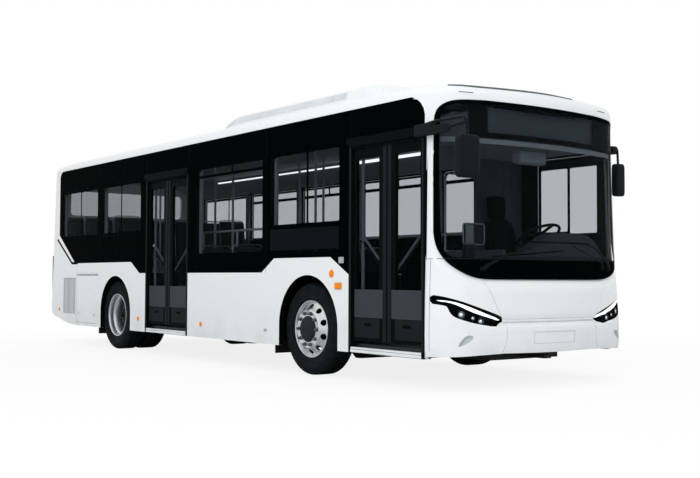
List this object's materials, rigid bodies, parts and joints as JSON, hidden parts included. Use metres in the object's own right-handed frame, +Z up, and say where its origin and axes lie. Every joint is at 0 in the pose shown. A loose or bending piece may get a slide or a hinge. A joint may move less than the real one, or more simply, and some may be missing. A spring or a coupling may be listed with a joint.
{
  "type": "low-entry midi city bus",
  "caption": "Low-entry midi city bus with a bowed front, black window band, two double doors on the right, roof pod, steering, opening doors and lids, and a seated cabin.",
  "frame": {"origin": "on the ground, under the centre of the overall box from the tail to the right mirror tip", "axes": "+X forward to the nose, +Y to the left of the bus, +Z up"},
  "size_m": [9.82, 2.83, 3.045],
  "materials": {
    "white_paint": "gloss",
    "black_band": "gloss",
    "tinted_glass": "polished",
    "clear_glass": "polished",
    "lamp_cover": "gloss",
    "red_lamp": "gloss",
    "dark_plastic": "satin",
    "grey_plastic": "satin",
    "frame_aluminium": "satin",
    "grille_metal": "satin",
    "floor_cover": "matte",
    "chassis_paint": "satin",
    "engine_metal": "rough",
    "axle_metal": "rough",
    "bellows_rubber": "matte",
    "tyre_rubber": "matte",
    "rim_aluminium": "polished",
    "seat_fabric": "woven",
    "handrail_steel": "brushed",
    "liner_plastic": "matte",
    "mirror_shell": "satin"
  },
  "bodies": {
    "body": {"roof_shell": "white_paint", "roof_pod": "white_paint", "right_skirt": "white_paint", "left_skirt": "white_paint", "right_window_band": "black_band", "left_window_band": "black_band", "right_windows": "tinted_glass", "left_windows": "tinted_glass", "front_fascia": "white_paint", "windscreen": "clear_glass", "headlights": "lamp_cover", "rear_panel": "white_paint", "rear_window": "tinted_glass", "tail_lamps": "red_lamp", "low_floor": "floor_cover", "high_floor": "floor_cover", "wheel_boxes": "grey_plastic", "chassis_frame": "chassis_paint", "engine_block": "engine_metal", "front_axle": "axle_metal", "rear_axle": "axle_metal", "air_springs": "bellows_rubber", "underbody_units": "chassis_paint", "door_frames": "frame_aluminium", "passenger_seats": "seat_fabric", "handrails": "handrail_steel", "drivers_seat": "seat_fabric", "dashboard": "dark_plastic", "cab_partition": "grey_plastic", "ceiling": "liner_plastic", "destination_sign": "dark_plastic", "mirrors": "mirror_shell", "wipers": "dark_plastic", "side_grille": "grille_metal", "mudflaps": "bellows_rubber"},
    "right_knuckle": {"right_knuckle": "axle_metal"},
    "left_knuckle": {"left_knuckle": "axle_metal"},
    "right_front_wheel": {"right_front_tyre": "tyre_rubber", "right_front_rim": "rim_aluminium"},
    "left_front_wheel": {"left_front_tyre": "tyre_rubber", "left_front_rim": "rim_aluminium"},
    "right_rear_wheels": {"right_rear_tyres": "tyre_rubber", "right_rear_rims": "rim_aluminium"},
    "left_rear_wheels": {"left_rear_tyres": "tyre_rubber", "left_rear_rims": "rim_aluminium"},
    "steering_wheel": {"steering_wheel": "dark_plastic"},
    "service_flap": {"service_flap": "white_paint"},
    "engine_cover": {"engine_cover": "white_paint"},
    "front_lid": {"front_lid": "white_paint"},
    "front_door_front_leaf": {"front_door_front_leaf": "frame_aluminium", "front_door_front_glass": "tinted_glass"},
    "front_door_rear_leaf": {"front_door_rear_leaf": "frame_aluminium", "front_door_rear_glass": "tinted_glass"},
    "rear_door_front_leaf": {"rear_door_front_leaf": "frame_aluminium", "rear_door_front_glass": "tinted_glass"},
    "rear_door_rear_leaf": {"rear_door_rear_leaf": "frame_aluminium", "rear_door_rear_glass": "tinted_glass"}
  },
  "joints": [
    {"name": "right_steer", "type": "hinge", "parent": "body", "child": "right_knuckle", "pos_m": [2.37, -0.95, 0.4785], "axis": [0, 0, 1], "range_deg": [-38, 38]},
    {"name": "left_steer", "type": "hinge", "parent": "body", "child": "left_knuckle", "pos_m": [2.37, 0.95, 0.4785], "axis": [0, 0, 1], "range_deg": [-38, 38]},
    {"name": "steering_wheel_turn", "type": "hinge", "parent": "body", "child": "steering_wheel", "pos_m": [3.93, 0.56, 1.45], "axis": [-0.4695, 0, 0.8829], "range_deg": [-720, 720]},
    {"name": "right_front_wheel_spin", "type": "hinge", "parent": "right_knuckle", "child": "right_front_wheel", "pos_m": [2.37, -1.0775, 0.4785], "axis": [0, 1, 0], "continuous": true},
    {"name": "right_rear_wheels_spin", "type": "hinge", "parent": "body", "child": "right_rear_wheels", "pos_m": [-2.47, -1.0775, 0.4785], "axis": [0, 1, 0], "continuous": true},
    {"name": "left_front_wheel_spin", "type": "hinge", "parent": "left_knuckle", "child": "left_front_wheel", "pos_m": [2.37, 1.0775, 0.4785], "axis": [0, 1, 0], "continuous": true},
    {"name": "left_rear_wheels_spin", "type": "hinge", "parent": "body", "child": "left_rear_wheels", "pos_m": [-2.47, 1.0775, 0.4785], "axis": [0, 1, 0], "continuous": true},
    {"name": "front_door_rear_leaf_swing", "type": "hinge", "parent": "body", "child": "front_door_rear_leaf", "pos_m": [3.2, -1.2295, 1.3], "axis": [0, 0, 1], "range_deg": [0, 90]},
    {"name": "front_door_front_leaf_swing", "type": "hinge", "parent": "body", "child": "front_door_front_leaf", "pos_m": [4.199, -1.2295, 1.3], "axis": [0, 0, -1], "range_deg": [0, 90]},
    {"name": "rear_door_rear_leaf_swing", "type": "hinge", "parent": "body", "child": "rear_door_rear_leaf", "pos_m": [-1.34, -1.2295, 1.3], "axis": [0, 0, 1], "range_deg": [0, 90]},
    {"name": "rear_door_front_leaf_swing", "type": "hinge", "parent": "body", "child": "rear_door_front_leaf", "pos_m": [-0.284, -1.2295, 1.3], "axis": [0, 0, -1], "range_deg": [0, 90]},
    {"name": "service_flap_lift", "type": "hinge", "parent": "body", "child": "service_flap", "pos_m": [-3.375, -1.267, 1.03], "axis": [-1, 0, 0], "range_deg": [0, 80]},
    {"name": "engine_cover_lift", "type": "hinge", "parent": "body", "child": "engine_cover", "pos_m": [-4.836, 0, 1.54], "axis": [0, 1, 0], "range_deg": [0, 75]},
    {"name": "front_lid_drop", "type": "hinge", "parent": "body", "child": "front_lid", "pos_m": [4.6565, 0, 0.657], "axis": [0, 1, 0], "range_deg": [0, 75]}
  ],
  "couplings": [
    {"joint": "left_steer", "follows": "right_steer", "ratio": 1},
    {"joint": "steering_wheel_turn", "follows": "right_steer", "ratio": 18}
  ]
}
